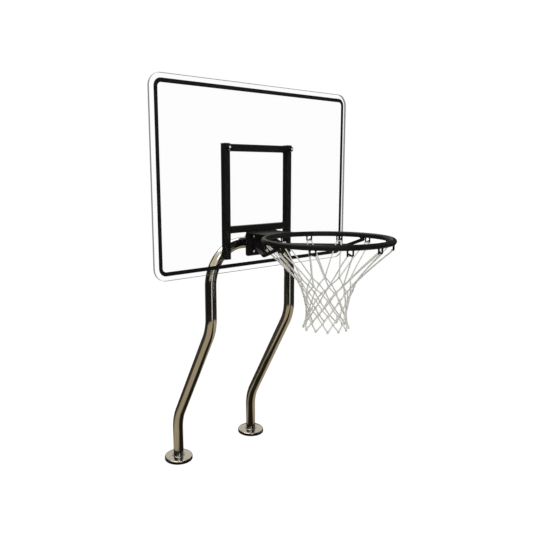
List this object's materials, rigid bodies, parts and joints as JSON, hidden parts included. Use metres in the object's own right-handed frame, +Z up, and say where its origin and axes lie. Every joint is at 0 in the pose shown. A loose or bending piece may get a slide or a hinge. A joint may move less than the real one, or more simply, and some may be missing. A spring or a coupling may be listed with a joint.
{
  "type": "poolside basketball hoop",
  "caption": "Poolside basketball hoop: clear backboard with rim and knotted net, on a square-tube bracket carried by one bent stainless tube with sliding cover plates at its feet.",
  "frame": {"origin": "on the deck plane, halfway between the centre lines of the two legs", "axes": "+X to the right for someone facing the backboard's front, -Y out over the water, the way the backboard faces, +Z up"},
  "size_m": [1.062, 1.0353, 1.713],
  "materials": {
    "tube_stainless": "polished stainless steel",
    "plate_stainless": "polished stainless sheet, lightly brushed",
    "board_clear": "clear acrylic sheet, polished faces",
    "border_ink": "printed black film",
    "bracket_coat": "black powder coat, satin",
    "rim_coat": "black powder coat, satin",
    "cap_plastic": "moulded black plastic",
    "fastener_steel": "dark-finished steel fasteners",
    "net_cord": "white braided nylon cord"
  },
  "bodies": {
    "stand": {"support_tube": "tube_stainless", "backboard": "board_clear", "printed_border": "border_ink", "upright_left": "bracket_coat", "upright_right": "bracket_coat", "top_bar": "bracket_coat", "lower_bar": "bracket_coat", "end_cap_left_bottom": "cap_plastic", "end_cap_left_top": "cap_plastic", "end_cap_right_bottom": "cap_plastic", "end_cap_right_top": "cap_plastic", "rim_plate": "rim_coat", "rim_top_plate": "rim_coat", "rim_ring": "rim_coat", "rim_brace_left": "rim_coat", "rim_brace_right": "rim_coat", "net_hook_01": "rim_coat", "net_hook_02": "rim_coat", "net_hook_03": "rim_coat", "net_hook_04": "rim_coat", "net_hook_05": "rim_coat", "net_hook_06": "rim_coat", "net_hook_07": "rim_coat", "net_hook_08": "rim_coat", "net_hook_09": "rim_coat", "net_hook_10": "rim_coat", "net_hook_11": "rim_coat", "net_hook_12": "rim_coat", "net": "net_cord", "rim_backing_plate": "bracket_coat", "tube_saddle": "bracket_coat", "tube_clamp_cap": "bracket_coat", "clamp_screw_1": "fastener_steel", "clamp_screw_2": "fastener_steel", "clamp_screw_3": "fastener_steel", "clamp_screw_4": "fastener_steel", "rim_bolt_1": "fastener_steel", "rim_bolt_2": "fastener_steel", "rim_bolt_3": "fastener_steel", "rim_bolt_4": "fastener_steel", "rim_nut_1": "fastener_steel", "rim_nut_2": "fastener_steel", "rim_nut_3": "fastener_steel", "rim_nut_4": "fastener_steel", "board_bolt_left": "fastener_steel", "board_bolt_right": "fastener_steel", "board_washer_left": "fastener_steel", "board_washer_right": "fastener_steel", "board_nut_left": "fastener_steel", "board_nut_right": "fastener_steel", "upright_bolt_left": "fastener_steel", "upright_bolt_right": "fastener_steel", "upright_nut_left": "fastener_steel", "upright_nut_right": "fastener_steel"},
    "cover_plate_left": {"escutcheon_left": "plate_stainless"},
    "cover_plate_right": {"escutcheon_right": "plate_stainless"}
  },
  "joints": [
    {"name": "cover_plate_left_slide", "type": "slide", "parent": "stand", "child": "cover_plate_left", "axis": [0, 0, 1], "range_m": [0, 0.13]},
    {"name": "cover_plate_right_slide", "type": "slide", "parent": "stand", "child": "cover_plate_right", "axis": [0, 0, 1], "range_m": [0, 0.13]}
  ]
}
